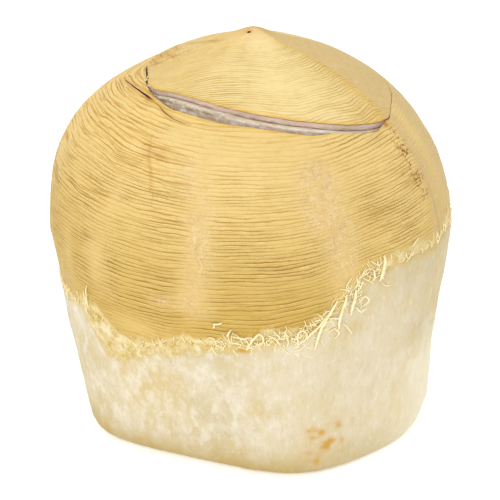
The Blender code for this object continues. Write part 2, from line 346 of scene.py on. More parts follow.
class Tree:
    """Short calls for the nodes of one material."""

    def __init__(self, name):
        self.material = bpy.data.materials.new(name)
        self.material.use_nodes = True
        self.tree = self.material.node_tree
        self.shader = self.tree.nodes["Principled BSDF"]
        self.place = self.add("ShaderNodeTexCoord").outputs["Object"]
        self.colour = None

    def add(self, kind, links=(), **settings):
        node = self.tree.nodes.new(kind)
        for key, value in settings.items():
            setattr(node, key, value)
        for socket, value in links:
            self.put(node.inputs[socket], value)
        return node

    def put(self, socket, value):
        if isinstance(value, bpy.types.NodeSocket):
            self.tree.links.new(value, socket)
        else:
            socket.default_value = value

    def mark(self, name):
        return self.add("ShaderNodeAttribute", attribute_name=name).outputs["Fac"]

    def vector(self, x, y):
        return self.add("ShaderNodeCombineXYZ", [("X", x), ("Y", y)]).outputs["Vector"]

    def noise(self, scale, stretch=(1.0, 1.0, 1.0), detail=3.0, rough=0.55, offset=0.0, source=None):
        spot = self.place if source is None else source
        links = [("Vector", spot), ("Scale", stretch), ("Location", (offset, offset, offset))]
        moved = self.add("ShaderNodeMapping", links).outputs["Vector"]
        links = [("Vector", moved), ("Scale", scale), ("Detail", detail), ("Roughness", rough)]
        return self.add("ShaderNodeTexNoise", links).outputs["Fac"]

    def math(self, operation, a, b=0.0, clamp=False):
        made = self.add("ShaderNodeMath", [(0, a), (1, b)], operation=operation, use_clamp=clamp)
        return made.outputs["Value"]

    def plus(self, a, b):
        return self.math("ADD", a, b)

    def less(self, a, b):
        return self.math("SUBTRACT", a, b)

    def away(self, value, middle):
        return self.math("ABSOLUTE", self.less(value, middle))

    def times(self, product, *others, clamp=False):
        for value in others:
            product = self.math("MULTIPLY", product, value, clamp)
        return product

    def ramp(self, value, low, high, to_low=0.0, to_high=1.0):
        links = [("Value", value), ("From Min", low), ("From Max", high)]
        links += [("To Min", to_low), ("To Max", to_high)]
        return self.add("ShaderNodeMapRange", links, interpolation_type="SMOOTHSTEP").outputs["Result"]

    def mix(self, share, a, b):
        made = self.add("ShaderNodeMix", data_type="RGBA", clamp_factor=True)
        self.put(made.inputs[0], share)
        self.put(made.inputs[6], a)
        self.put(made.inputs[7], b)
        return made.outputs[2]

    def wash(self, tint, *shares):
        """Takes the colour over to the tint by the product of the shares."""
        self.colour = self.mix(self.times(*shares), self.colour, tint)

    def relief(self, *layers):
        """Bump of layers, each a height, its strength and its distance in metres."""
        before = []
        for height, strength, distance in layers:
            links = [("Height", height), ("Strength", strength), ("Distance", distance)]
            normal = self.add("ShaderNodeBump", links + before).outputs["Normal"]
            before = [("Normal", normal)]
        return normal

    def finish(self, rough, normal, **fixed):
        self.put(self.shader.inputs["Base Color"], self.colour)
        self.put(self.shader.inputs["Roughness"], rough)
        self.put(self.shader.inputs["Normal"], normal)
        for key, value in fixed.items():
            self.shader.inputs[key.replace("_", " ")].default_value = value
        return self.material


# Light on an upright surface of the object, and its share that is only gloss.
STUDIO_LIGHT = 1.21
STUDIO_GLOSS = 0.025


def rgb(red, green, blue):
    """Surface colour that is seen as this screen colour, 0 to 255, in the studio light."""
    parts = []
    for value in (red, green, blue):
        share = value / 255.0
        linear = share / 12.92 if share <= 0.04045 else ((share + 0.055) / 1.055) ** 2.4
        parts.append(min(max((linear - STUDIO_GLOSS) / STUDIO_LIGHT, 0.004), 0.93))
    return (*parts, 1.0)


def grooved(t, groove_dirt_and_shade, painted_highlight):
    """Colours the blade's ripples, with dirt and painted shade in their valleys and thin lines and a
    painted highlight on the flank below each valley, and gives their relief for the bump.
    """
    count = t.mark("count")
    force = t.mark("force")
    spot = t.vector(count, t.mark("along"))
    warp = t.noise(1.0, (0.55, 0.10, 1.0), 2.0, 0.5, 3.0, spot)
    fine_warp = t.noise(1.0, (1.5, 0.45, 1.0), 2.0, 0.5, 11.0, spot)
    part = t.math("FRACT", t.plus(count, t.plus(t.times(warp, 1.1), t.times(fine_warp, 0.18))))
    strong = t.ramp(t.noise(1.0, (0.75, 0.06, 1.0), 2.0, 0.6, 7.0, spot), 0.36, 0.60, 0.4, 1.0)
    valley = t.ramp(t.away(part, 0.5), 0.2, 0.03)
    crest = t.ramp(t.away(part, 0.24), 0.16, 0.02)
    cut = t.times(valley, strong, force, clamp=True)
    lit = t.times(crest, t.ramp(strong, 0.2, 1.0, 0.45, 1.0), force, clamp=True)
    thin = t.ramp(t.noise(1.0, (2.2, 0.07, 1.0), 2.0, 0.5, 23.0, spot), 0.52, 0.66)
    thin = t.times(thin, t.mark("thin"), force, clamp=True)
    t.wash(painted_highlight, lit, 0.9)
    t.wash(groove_dirt_and_shade, thin)
    t.wash(groove_dirt_and_shade, cut)
    return t.less(t.times(lit, 0.5), t.plus(cut, t.times(thin, 0.5)))


def scribble(t, scale, width, offset=0.0, detail=2.0):
    """Thin curly lines, the contours of a noise."""
    return t.ramp(t.away(t.noise(scale, detail=detail, offset=offset), 0.5), width, 0.0)


def scuffed(t):
    """Colours the rubbed, hairy places, and gives the hairs' height for the bump."""
    hair = scribble(t, 400.0, 0.05, 2.0, 3.0)
    dark_hair = scribble(t, 330.0, 0.035, 13.0, 3.0)
    tuft = t.ramp(t.noise(160.0, offset=5.0), 0.42, 0.62)
    rubbed = t.times(t.mark("scuff"), t.ramp(tuft, 0.0, 1.0, 0.45, 1.0))
    pink = t.ramp(t.noise(230.0, detail=2.0, offset=15.0), 0.5, 0.66)
    t.wash(rgb(234, 202, 150), rubbed, 0.75)
    t.wash(rgb(220, 180, 138), rubbed, pink, 0.7)
    t.wash(rgb(196, 150, 92), rubbed, dark_hair, 0.6)
    t.wash(rgb(252, 228, 180), rubbed, hair, 0.9)
    return t.times(rubbed, t.less(hair, dark_hair))


def small_marks(t):
    """Colours the ridge's dark curls, the facet's scratches, the cut's golden lip and the stains."""
    curl = t.ramp(t.noise(300.0, detail=2.0, offset=21.0), 0.42, 0.56)
    t.wash(rgb(150, 92, 44), t.mark("curl"), scribble(t, 560.0, 0.07, 9.0), curl)
    scratch = scribble(t, 260.0, 0.05, 17.0, 4.0)
    t.wash(rgb(240, 214, 160), t.mark("facet"), scratch, 0.28)
    # Golden lip of the cut, and on the lid a gold line along the ridge that is partly a painted highlight.
    t.wash(rgb(234, 192, 88), t.mark("lip"), 0.75)
    # Orange stains, one of them painted shade at the notch's right end.
    t.wash(rgb(186, 112, 30), t.mark("stain"), 0.9)


def torn_foot(t):
    """Colours the rags of husk on the shell's foot, and gives their height for the bump."""
    tatter = t.noise(330.0, (1.0, 1.0, 0.30), 4.0, 0.65, 4.0)
    torn = t.noise(120.0, (1.0, 1.0, 0.6), 3.0, 0.6, 8.0)
    reach = t.times(t.ramp(t.plus(tatter, torn), 0.75, 1.35), 4.6)
    husky = t.ramp(t.less(t.mark("above"), reach), 0.8, -1.4)
    t.wash(t.mix(t.ramp(tatter, 0.35, 0.7), rgb(246, 228, 178), rgb(222, 194, 124)), husky)
    return t.times(husky, tatter, 1.4)


def slit_lines(t):
    """Paints shade as the dark lines of the crack, the creases and the tip's pit, with a brown edge."""
    outside = t.less(t.math("ABSOLUTE", t.mark("slit")), t.mark("slit_width"))
    t.wash(rgb(206, 150, 62), t.ramp(outside, 0.9, 0.1), 0.35)
    t.wash(rgb(84, 40, 0), t.ramp(outside, 0.05, -0.04), t.mark("slit_dark"))


def golden_shell():
    t = Tree("golden_shell")
    broad = t.noise(30.0)
    patchy = t.noise(75.0, rough=0.6, offset=6.0)
    grain = t.noise(420.0, (1.0, 1.0, 3.0), 4.0, 0.6)
    fine = t.noise(1100.0, (1.0, 1.0, 1.6), 3.0, 0.6)
    # Painted shade: shaded() mixes a lit copy and a darker, deeper-coloured copy of each colour by the low
    # mark, which stands for both shade and the shell's own deeper colour.
    low = t.mark("low")
    lid = t.mark("lid")

    def shaded(light, dark):
        return t.mix(low, rgb(*light), rgb(*dark))

    t.colour = shaded((246, 215, 144), (215, 182, 104))
    t.wash(shaded((240, 206, 130), (208, 172, 88)), t.ramp(broad, 0.42, 0.66, 0.0, 0.6))
    t.wash(shaded((252, 224, 160), (226, 194, 118)), t.ramp(patchy, 0.55, 0.75, 0.0, 0.5))
    # Paler gold on the lid where its painted shade is least: painted light on the top, over the lid's own
    # paler colour.
    t.wash(rgb(254, 231, 172), lid, t.ramp(low, 0.0, 0.6, 0.8, 0.0))
    t.wash(rgb(228, 200, 138), t.mark("band"), 0.5)
    # Duller, greyer gold on the right facet, partly painted shade where it faces away from the light.
    t.wash(rgb(212, 184, 128), t.mark("facet"))
    t.wash(rgb(208, 168, 84), t.ramp(grain, 0.48, 0.78, 0.0, 0.3))
    t.wash(rgb(252, 228, 164), t.ramp(grain, 0.45, 0.2, 0.0, 0.3))
    # Groove colours: dirt with painted shade, and a painted highlight, each in lit and shaded copies.
    groove_dirt_and_shade = t.mix(lid, shaded((206, 156, 72), (148, 104, 6)), rgb(226, 182, 92))
    depth = grooved(t, groove_dirt_and_shade, shaded((255, 231, 164), (248, 218, 142)))
    hairs = scuffed(t)
    small_marks(t)
    depth = t.plus(depth, torn_foot(t))
    slit_lines(t)
    layers = [(depth, 0.7, 0.00025), (grain, 0.35, 0.0005), (hairs, 0.35, 0.0003), (fine, 0.25, 0.0003)]
    return t.finish(t.ramp(fine, 0.3, 0.7, 0.45, 0.62), t.relief(*layers), Specular_IOR_Level=0.14)


def torn_patch(t):
    """Colours the torn place under the husk's edge, and gives its height for the bump."""
    rags = t.noise(300.0, (1.0, 1.0, 0.7), 5.0, 0.7, 4.4)
    inside = t.plus(t.mark("tear"), t.times(t.less(rags, 0.5), 12.0))
    tear = t.ramp(inside, -1.4, 1.6)
    t.wash(rgb(225, 200, 134), tear, 0.8)
    t.wash(rgb(246, 232, 194), tear, t.ramp(rags, 0.5, 0.6, 0.0, 0.8))
    t.wash(rgb(200, 166, 76), tear, t.ramp(rags, 0.48, 0.36, 0.0, 0.85))
    t.wash(rgb(222, 192, 110), tear, t.ramp(inside, 3.5, 0.5), 0.5)
    t.wash(rgb(252, 240, 200), tear, scribble(t, 300.0, 0.07, 1.0, 3.0), 0.35)
    return t.times(tear, rags)


def pale_husk():
    t = Tree("pale_husk")
    broad = t.noise(24.0, (1.0, 1.0, 0.8), 3.0, 0.6)
    fleck = t.noise(330.0, (1.0, 1.0, 0.55), 4.0, 0.65, 2.0)
    cloud = t.noise(60.0, (1.0, 1.0, 0.8), 4.0, 0.65, 7.0)
    streak = t.noise(300.0, (1.0, 1.0, 0.3), 4.0, 0.62)
    grain = t.noise(760.0, (1.0, 1.0, 0.4), 4.0, 0.65)
    blotch = t.noise(120.0, (1.0, 1.0, 0.7), 5.0, 0.75, 3.7)
    mottle = t.mark("mottle")
    t.colour = t.mix(t.ramp(broad, 0.36, 0.62), rgb(216, 200, 160), rgb(229, 215, 182))
    t.wash(rgb(222, 200, 148), t.ramp(cloud, 0.44, 0.64, 0.0, 0.85))
    t.wash(rgb(246, 238, 222), t.ramp(blotch, 0.42, 0.72, 0.0, 0.7), mottle)
    t.wash(rgb(250, 244, 230), t.ramp(fleck, 0.48, 0.68), mottle, 0.4)
    t.wash(rgb(214, 196, 152), t.ramp(streak, 0.52, 0.78, 0.0, 0.5))
    t.wash(rgb(204, 186, 146), t.ramp(grain, 0.56, 0.78, 0.0, 0.5))
    t.wash(rgb(250, 242, 222), t.ramp(grain, 0.44, 0.26, 0.0, 0.5))
    t.wash(rgb(198, 172, 108), t.mark("foot"), t.ramp(cloud, 0.3, 0.6, 0.5, 1.0))
    # Paler husk at the lower right: painted light that lifts the shade there.
    t.wash(rgb(255, 246, 218), t.mark("pale"), 0.7)
    t.wash(rgb(212, 205, 188), t.mark("chalk"))
    fringe = t.ramp(t.less(t.mark("below"), t.times(streak, 5.0)), 1.6, -1.4)
    t.wash(rgb(222, 192, 118), fringe, 0.6)
    rags = torn_patch(t)
    t.wash(rgb(212, 160, 44), t.mark("stain"), 0.85)
    layers = [(streak, 0.45, 0.0008), (blotch, 0.4, 0.0006), (grain, 0.5, 0.0005), (rags, 0.6, 0.0008)]
    return t.finish(t.ramp(grain, 0.3, 0.7, 0.62, 0.82), t.relief(*layers), Specular_IOR_Level=0.25)


def cut_shell():
    t = Tree("cut_shell")
    fleck = t.noise(650.0, (1.0, 1.0, 1.4), 4.0, 0.65)
    t.colour = t.mix(t.ramp(t.noise(170.0), 0.35, 0.7), rgb(238, 212, 194), rgb(220, 193, 174))
    t.wash(rgb(204, 174, 148), t.ramp(fleck, 0.5, 0.75, 0.0, 0.6))
    t.wash(rgb(244, 222, 204), t.ramp(fleck, 0.45, 0.25, 0.0, 0.6))
    # Greying in the cut's recesses and inner corners: dirt, with painted shade.
    t.wash(rgb(176, 158, 126), t.mark("dirt_and_shade"))
    # Dark brown line at the top of the lid's cut wall: the shell's brown outer edge, with painted shadow
    # under the lid's lip.
    t.wash(rgb(112, 64, 10), t.mark("edge"))
    t.wash(rgb(226, 188, 108), t.mark("golden"))
    return t.finish(0.5, t.relief((fleck, 0.5, 0.0004)), Specular_IOR_Level=0.3)


def white_flesh():
    t = Tree("white_flesh")
    fleck = t.noise(480.0, detail=4.0, rough=0.65)
    broad = t.noise(190.0, offset=1.3)
    t.colour = t.mix(t.ramp(broad, 0.35, 0.65), rgb(246, 230, 208), rgb(230, 207, 182))
    t.wash(rgb(255, 253, 247), t.ramp(fleck, 0.5, 0.7, 0.0, 0.85))
    # Grey flecks and lines in the corners by the lid's cut wall: dirt, with painted shade.
    grey = t.ramp(t.plus(t.mark("dirt_and_shade"), t.times(t.less(fleck, 0.5), 1.6)), 0.25, 0.85)
    t.wash(rgb(176, 160, 130), grey, 0.85)
    return t.finish(0.4, t.relief((fleck, 0.7, 0.0007)), Specular_IOR_Level=0.5)


def still_water():
    t = Tree("coconut_water")
    cloud = t.noise(60.0, detail=2.0)
    t.colour = t.mix(t.ramp(cloud, 0.3, 0.7), rgb(236, 236, 226), rgb(226, 228, 218))
    ripple = t.relief((t.noise(120.0, detail=1.0), 0.1, 0.0003))
    return t.finish(t.ramp(cloud, 0.3, 0.7, 0.03, 0.08), ripple)


# Weak glow of the fibres, which stands for the light that passes through them.
FIBRE_GLOW = (1.0, 0.82, 0.45, 1.0)


def fibre_look(name, light, dark):
    t = Tree(name)
    along = t.noise(500.0)
    t.colour = t.mix(t.ramp(along, 0.35, 0.7), light, dark)
    normal = t.relief((along, 0.4, 0.0002))
    look = {"Specular_IOR_Level": 0.1, "Emission_Color": FIBRE_GLOW, "Emission_Strength": 0.10}
    return t.finish(0.6, normal, **look)


gold = golden_shell()
cream = pale_husk()
cut_face = cut_shell()
flesh_look = white_flesh()

# How far the ripples climb round the nut, as (azimuth, millimetres at a 50 mm radius): below the
# equator, near the lid, and on the lid.
LOW_CLIMB = (
    (-150.0, -0.6), (-106.0, 1.7), (-80.0, 2.6), (-63.0, 2.4), (-40.0, 2.1), (-25.0, 1.8), (-17.0, 1.05),
    (-5.0, 0.5), (5.0, 0.3), (18.0, -1.4), (32.0, -4.1), (58.5, -5.5), (113.0, -5.5), (150.0, -3.6),
)
BODY_CLIMB = (
    (-150.0, 0.0), (-106.0, 1.9), (-63.0, 3.7), (-37.0, 5.5), (-16.0, 6.5), (25.0, 6.5), (58.5, 3.4),
    (113.0, 3.4), (150.0, 1.2),
)
LID_CLIMB = (
    (-150.0, 0.0), (-60.0, 0.0), (22.0, 0.0), (48.0, -2.2), (57.0, -4.2), (113.0, -4.2), (150.0, -2.0),
)
BODY_PITCH = 1.28 * MM
LID_PITCH = 0.86 * MM
CLIMB_RADIUS = 50.0 * MM
BODY_CLIMB_GAIN = 1.8
CLIMB_CHANGE = 48.0 * MM


def arc_at_radius(radius):
    turns = np.linspace(0.0, np.pi / 2.0, PROFILE_SAMPLES)
    arcs = arc_of(turns / (np.pi / 2.0))
    return np.interp(-radius, -dome_point(np.zeros_like(turns), turns)[0], arcs)


def value_at(knots, azimuth):
    """Straight lines through (azimuth, value) knots, closed round the nut."""
    knots = np.array(knots)
    return np.interp(azimuth, knots[:, 0], knots[:, 1], period=360.0)


def climb_at(knots, azimuth):
    return value_at(knots, azimuth) * MM


def ripples(azimuth, arc, radius, climbs, pitch, seed, straight=0.0):
    """Running count of the ripples down the surface, and the length along them in mm."""
    swell = Noise(seed + 1, 12.0, 7.0 * MM)(azimuth, arc)
    wave = Noise(seed + 2, 5.0, 3.0 * MM)(azimuth, arc)
    squeeze = Noise(seed + 3, 40.0, 6.0 * MM)(azimuth, arc)
    low, high = climbs
    above = smooth_step(arc / CLIMB_CHANGE)
    rise = climb_at(low, azimuth) * (1.0 - above) + BODY_CLIMB_GAIN * climb_at(high, azimuth) * above
    side = np.radians(np.clip(turn_from(azimuth, -5.0), -75.0, 75.0))
    line = arc * (1.0 - straight) + arc_at_radius(radius * np.cos(side)) * straight
    waves = (0.38 * swell + 0.07 * wave) * MM
    line = line + rise * radius / CLIMB_RADIUS + waves * np.minimum(1.0, radius / CLIMB_RADIUS)
    # Behind the nut the length runs back to nothing, so that it has no jump there.
    turn = turn_from(azimuth, 0.0)
    away = np.abs(turn)
    along = np.radians(np.sign(turn) * np.minimum(away, 2.0 * (180.0 - away))) * radius / MM
    return line / pitch + 0.5 * squeeze + 60.0, along


def ripple_relief(count, force):
    return force * (0.5 - 0.5 * np.cos(2.0 * np.pi * count)) ** 1.5


def line_marks(azimuth, height, points, radius):
    """Signed distance from a line of (azimuth, height in mm) points, and how far along it is."""
    best = np.full_like(azimuth, 1.0)
    signed = np.full_like(azimuth, 1.0)
    share = np.zeros_like(azimuth)
    total = len(points) - 1
    for index in range(total):
        (a0, h0), (a1, h1) = points[index], points[index + 1]
        x = np.radians(turn_from(azimuth, a0)) * radius
        y = height - h0 * MM
        dx = math.radians(a1 - a0) * radius
        dy = h1 * MM - h0 * MM
        length = math.hypot(dx, dy)
        t = np.clip((x * dx + y * dy) / length ** 2, 0.0, 1.0)
        away = np.hypot(x - t * dx, y - t * dy)
        side = (y * dx - x * dy) / length
        near = away < best
        share = np.where(near, (index + t) / total, share)
        signed = np.where(near, np.where(away > np.abs(side) + 1e-9, np.copysign(away, side), side), signed)
        best = np.minimum(best, away)
    return signed, share


def patch(azimuth, height, turn, rise, across, up):
    """Soft round patch: its azimuth and height in mm, and its spreads."""
    return sector(azimuth, turn, across) * bell(height - rise * MM, up * MM)


# Crack beside the lid, running on under the cut, as (azimuth, height), and its width in mm and the darkness
# of its painted shade at shares of its length. Heights are in mm.
CRACK = (
    (-88.2, 103.9),
    (-76.0, 104.4),
    (-65.5, 104.5),
    (-57.8, 104.4),
    (-51.5, 104.1),
    (-45.5, 103.5),
    (-38.8, 102.4),
    (-33.8, 101.8),
    (-29.0, 101.5),
    (-26.0, 101.3),
)
CRACK_SHARES = (0.0, 0.04, 0.3, 0.36, 0.42, 0.48, 0.6, 0.9, 1.0)
CRACK_WIDTHS = (-0.12, 0.05, 0.13, 0.17, 0.10, 0.03, 0.09, 0.05, -0.12)
CRACK_DARKNESS = (1.0, 1.0, 1.0, 1.0, 0.8, 0.4, 0.8, 0.7, 0.4)
# Creases as (azimuth, height in mm) points, and the radius there in metres.
CREASES = (
    (((-38.5, 95.8), (-36.2, 92.7), (-34.2, 90.8), (-32.0, 86.5)), 0.047),
    (((61.6, 81.0), (62.3, 74.0), (62.8, 69.0), (64.0, 62.5)), 0.058),
)
# Line of scribbled fibres on the right ridge, and a scratched scar under the crack.
RIDGE_CURLS = (
    (56.8, 95.2),
    (57.5, 92.4),
    (58.2, 89.2),
    (58.0, 86.0),
    (58.3, 80.5),
)
SCAR = ((-39.5, 95.2), (-32.0, 94.2))

# Strength of the ripples round the nut, as (azimuth, share).
BODY_FORCE = (
    (-150.0, 0.9), (-106.0, 1.0), (-64.0, 1.0), (-20.0, 0.95), (3.0, 0.9), (22.0, 0.85), (34.0, 1.1),
    (52.0, 1.15), (57.0, 1.0), (60.0, 0.25), (108.0, 0.2), (118.0, 0.8), (165.0, 0.9),
)
# Smooth places and rubbed places: azimuth, height in mm, their spreads, and their strength.
SMOOTH_PLACES = (
    (-15.0, 77.0, 4.0, 11.0, 0.95),
    (-17.0, 60.0, 5.0, 8.0, 0.8),
    (-16.0, 98.0, 5.0, 6.0, 0.4),
    (21.5, 84.0, 7.0, 9.0, 0.85),
    (25.5, 67.0, 4.5, 10.0, 0.95),
    (-48.0, 63.0, 4.5, 10.0, 0.85),
    (-36.0, 47.0, 10.0, 4.0, 0.9),
    (-62.0, 56.0, 4.0, 14.0, 0.7),
    (-44.0, 84.0, 3.0, 8.0, 0.55),
    (-62.0, 88.0, 14.0, 8.0, 0.3),
    (-31.0, 99.0, 6.0, 2.6, 0.9),
    (-106.0, 75.0, 4.0, 25.0, 0.6),
    (150.0, 75.0, 4.0, 30.0, 0.8),
    (-165.0, 75.0, 4.0, 30.0, 0.8),
    (4.0, 95.0, 24.0, 9.0, 0.6),
)
SCUFFS = (
    (-15.0, 76.0, 3.6, 8.5, 1.0),
    (-15.5, 60.0, 4.5, 5.0, 0.5),
    (20.5, 87.0, 6.0, 7.0, 1.0),
    (24.5, 69.0, 4.0, 7.0, 0.5),
    (-22.0, 91.0, 6.0, 5.0, 0.35),
    (-24.5, 58.0, 3.2, 1.6, 0.9),
    (24.0, 78.0, 4.0, 9.0, 0.6),
)
# Distance from the nut's axis where the crack, the scar and the curls lie, in metres.
CRACK_RADIUS = 0.0365
SCAR_RADIUS = 0.045
CURL_RADIUS = 0.050
SHELL_COLUMNS = 240
SHELL_ROWS = 400
SHELL_SEED = 11
SHELL_UNDER_HUSK = 4.0 * MM
RIPPLE_DEPTH = 0.15 * MM
SEAM_MIDDLE = 95.0


def ring_grid(columns, rows):
    """Azimuths of one ring and of all rows, and each row's share of the way down."""
    ring = np.linspace(-180.0, 180.0, columns, endpoint=False)
    azimuth = np.broadcast_to(ring, (rows, columns)).copy()
    return ring, azimuth, np.linspace(0.0, 1.0, rows)[:, None]


def over(length, start, span):
    """Share that grows from 0 to 1 while a length grows by a span from a start, both in mm."""
    return smooth_step((length - start * MM) / (span * MM))


def under(length, start, span):
    """Share that grows from 0 to 1 while a length shrinks by a span from a start, both in mm."""
    return smooth_step((start * MM - length) / (span * MM))


def ring_noise(ring, seed, cell_degrees):
    return Noise(seed, cell_degrees, 1.0)(ring, 0.0 * ring)


def shut_seam(azimuth, start):
    """Where the lid lies shut on the shell, on the right and behind."""
    turn = turn_from(azimuth, SEAM_MIDDLE)
    return smooth_step((turn + start) / 6.0) * smooth_step((42.0 - turn) / 20.0)


def padded(marks, before, after):
    """The marks, with the first and last rows repeated for rows that are added before and after."""
    out = {}
    for key, values in marks.items():
        first = np.repeat(values[:1], before, 0)
        out[key] = np.concatenate([first, values, np.repeat(values[-1:], after, 0)])
    return out


def spread_marks(azimuth, height, places):
    total = 0.0
    for *place_and_spread, share in places:
        total = total + share * patch(azimuth, height, *place_and_spread)
    return np.clip(total, 0.0, 1.0)


def add_creases(azimuth, height, creases, lines, widest, darkness):
    """Adds thin creases to lines, which are the distance from them, their width and darkness."""
    slit, width, dark = lines
    for crease, around in creases:
        beside, further = line_marks(azimuth, height, crease, around)
        nearer = np.abs(beside) < np.abs(slit)
        slit = np.where(nearer, beside, slit)
        width = np.where(nearer, widest * np.sin(np.pi * further) ** 0.5 - 0.05, width)
        dark = np.where(nearer, darkness, dark)
    return slit, width, dark


def make_shell():
    ring, azimuth, down = ring_grid(SHELL_COLUMNS, SHELL_ROWS)
    rows_down = down * SHELL_ROWS
    top = rim_level(ring)
    foot = level_at(ring, husk_edge(ring) - SHELL_UNDER_HUSK)
    level = top + (foot - top) * down
    arc = arc_of(level)
    radius, height = skin_point(azimuth, level)
    count, along = ripples(azimuth, arc, radius, (LOW_CLIMB, BODY_CLIMB), BODY_PITCH, SHELL_SEED)
    rough = Noise(31, 3.0, 1.6 * MM)(azimuth, arc)
    swell = Noise(32, 14.0, 6.0 * MM)(azimuth, arc)
    drift = Noise(33, 9.0, 5.0 * MM)(azimuth, arc)
    above = height - husk_edge(azimuth)
    calm = over(above, 0.5, 5.0)
    scuff = spread_marks(azimuth, height, SCUFFS)
    smooth = spread_marks(azimuth, height, SMOOTH_PLACES)
    force = value_at(BODY_FORCE, azimuth) * (0.25 + 0.75 * calm) * (1.0 - smooth)
    force = force * np.clip(0.85 + 0.35 * drift, 0.0, 1.0)
    scar = bell(line_marks(azimuth, height, SCAR, SCAR_RADIUS)[0], 1.6 * MM)
    force = np.clip(force * (1.0 + 0.6 * scar), 0.0, 1.3)
    slit, share = line_marks(azimuth, height, CRACK, CRACK_RADIUS)
    split = bell(slit, 0.3 * MM)
    raised = bell(slit - 0.5 * MM, 0.7 * MM) * (share < 0.5)
    out = -RIPPLE_DEPTH * ripple_relief(count, force) + 0.05 * MM * rough + 0.16 * MM * swell
    out = out + 0.15 * MM * raised - 0.1 * MM * split
    out = out + 0.25 * MM * scuff * rough
    rim = smooth_step(rows_down / 4.0)
    out = out * (0.3 + 0.7 * rim) - 0.25 * MM * under(above, 0.0, 1.0)
    points = place(azimuth, level, out)
    # The cut rim goes down inside the opening, and the foot turns in under the husk.
    edge_radius, edge_height = skin_point(ring, top)
    wall = upright_wall(ring, top)
    inner = [
        xyz(ring, edge_radius - 4.0 * MM, edge_height - wall - 5.0 * MM),
        xyz(ring, edge_radius - 0.05 * MM, edge_height - wall),
        xyz(ring, edge_radius - 0.05 * MM, edge_height - 0.2 * MM),
    ]
    foot_radius, foot_height = skin_point(ring, foot)
    lower = [xyz(ring, foot_radius - 2.5 * MM, foot_height - 0.5 * MM)]
    grid = np.concatenate([np.stack(inner), points, np.stack(lower)])
    crack_width = np.interp(share, CRACK_SHARES, CRACK_WIDTHS)
    lines = (slit, crack_width, np.interp(share, CRACK_SHARES, CRACK_DARKNESS))
    slit, width, slit_dark = add_creases(azimuth, height, CREASES, lines, 0.06, 0.3)
    curls = bell(line_marks(azimuth, height, RIDGE_CURLS, CURL_RADIUS)[0], 1.9 * MM)
    # Orange spots, shown as stains: the one at the notch's right end is painted shade of the cut wall seen
    # there, lit orange-brown through the shell; the other lies on the crack.
    shade_and_stain_spots = patch(azimuth, height, 56.8, 98.0, 1.6, 0.8)
    shade_and_stain_spots = shade_and_stain_spots + 0.6 * patch(azimuth, height, -54.5, 103.9, 1.4, 0.5)
    # Right facet: its duller colour is partly painted shade.
    facet = smooth_step((azimuth - 57.0) / 4.0) * (1.0 - smooth_step((azimuth - 108.0) / 10.0))
    # Painted shade of the lower part, which also stands for the shell's deeper colour there: more on the
    # left, less to the right of the front.
    shade = under(height, 100.0, 50.0) * (1.0 - 0.4 * smooth)
    shade = shade * (1.0 - 0.5 * sector(azimuth, 44.0, 16.0) * over(height, 60.0, 12.0))
    shade = shade * (1.0 + 0.35 * smooth_step((-30.0 - turn_from(azimuth, 0.0)) / 40.0))
    marks = {
        "count": count,
        "along": along,
        "force": force,
        "band": smooth * over(height, 45.0, 20.0),
        "low": shade,
        "above": above / MM,
        "scuff": scuff,
        "curl": np.clip(1.3 * curls, 0.0, 1.0),
        "facet": facet * (0.75 - 0.5 * sector(azimuth, 70.0, 5.0)),
        "lid": 0.0 * arc,
        "lip": 0.7 * bell(rows_down, 5.0) * notch_share(azimuth),
        "stain": np.clip(shade_and_stain_spots + 0.22 * scar, 0.0, 1.0),
        "slit": slit / MM,
        "slit_width": width,
        "slit_dark": slit_dark,
        "thin": 0.4 + 0.5 * sector(azimuth, -75.0, 45.0) * over(height, 60.0, 25.0),
        "edge": 0.0 * arc,
        # Even greying of the rim's cut face inside the opening: dirt, with painted shade.
        "dirt_and_shade": np.full_like(arc, 0.3),
        "golden": shut_seam(azimuth, 34.0),
    }
    slots = np.zeros((len(grid) - 1, SHELL_COLUMNS), dtype=int)
    slots[:len(inner)] = 1
    marks = padded(marks, len(inner), len(lower))
    thing = build("shell_skin", grid, in_grid(grid), marks, [gold, cut_face], slots.ravel())
    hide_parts("shell")


# Orange stains of the husk: azimuth, height in mm, their spreads and strength.
HUSK_STAINS = (
    (17.8, 16.8, 1.5, 1.2, 0.9),
    (21.2, 15.8, 1.5, 1.1, 0.9),
    (18.4, 14.6, 1.4, 0.9, 0.8),
    (24.2, 12.4, 1.6, 1.3, 1.0),
    (26.5, 17.6, 0.9, 1.8, 0.9),
    (22.6, 10.2, 1.6, 1.6, 1.0),
    (20.6, 6.2, 1.1, 2.6, 1.0),
    (17.2, 9.0, 1.4, 0.9, 0.9),
    (31.5, 17.0, 0.8, 1.4, 0.5),
    (28.5, 11.5, 0.9, 1.4, 0.5),
    (22.0, 11.0, 6.0, 7.0, 0.3),
)
# Lower limit of the torn patch on the left, as (azimuth, height), and the patch's two ends.
TORN_LOWER = (
    (-72.0, 51.0 * MM),
    (-60.0, 49.0 * MM),
    (-57.0, 44.5 * MM),
    (-51.8, 36.0 * MM),
    (-48.0, 33.0 * MM),
    (-43.2, 32.0 * MM),
    (-36.2, 35.5 * MM),
    (-30.0, 39.5 * MM),
    (-23.8, 39.5 * MM),
    (-18.5, 42.0 * MM),
    (-6.0, 44.5 * MM),
    (4.0, 47.0 * MM),
)
TORN_LEFT = -72.0
TORN_RIGHT = 4.0

# Soft swellings of the husk, and one hollow: azimuth, height in mm, their spreads, and rise in mm.
HUSK_SWELLINGS = (
    (88.0, 18.0, 24.0, 9.0, 1.2),
    (90.0, 7.0, 26.0, 6.0, 2.0),
    (-84.0, 30.0, 26.0, 24.0, 0.6),
    (56.0, 0.0, 16.0, 9.0, -1.2),
)
HUSK_COLUMNS = 420
HUSK_ROWS = 120
# The husk's rim stands a little above its edge line, and starts under the shell's surface.
HUSK_RIM = 0.8 * MM
LIP_INSET = 0.45 * MM
HUSK_SHARP_ANGLE = 50.0
# Just above the base, so that the outer surface is still the trunk's.
BASE_LEVEL = -1.0 + 1e-6


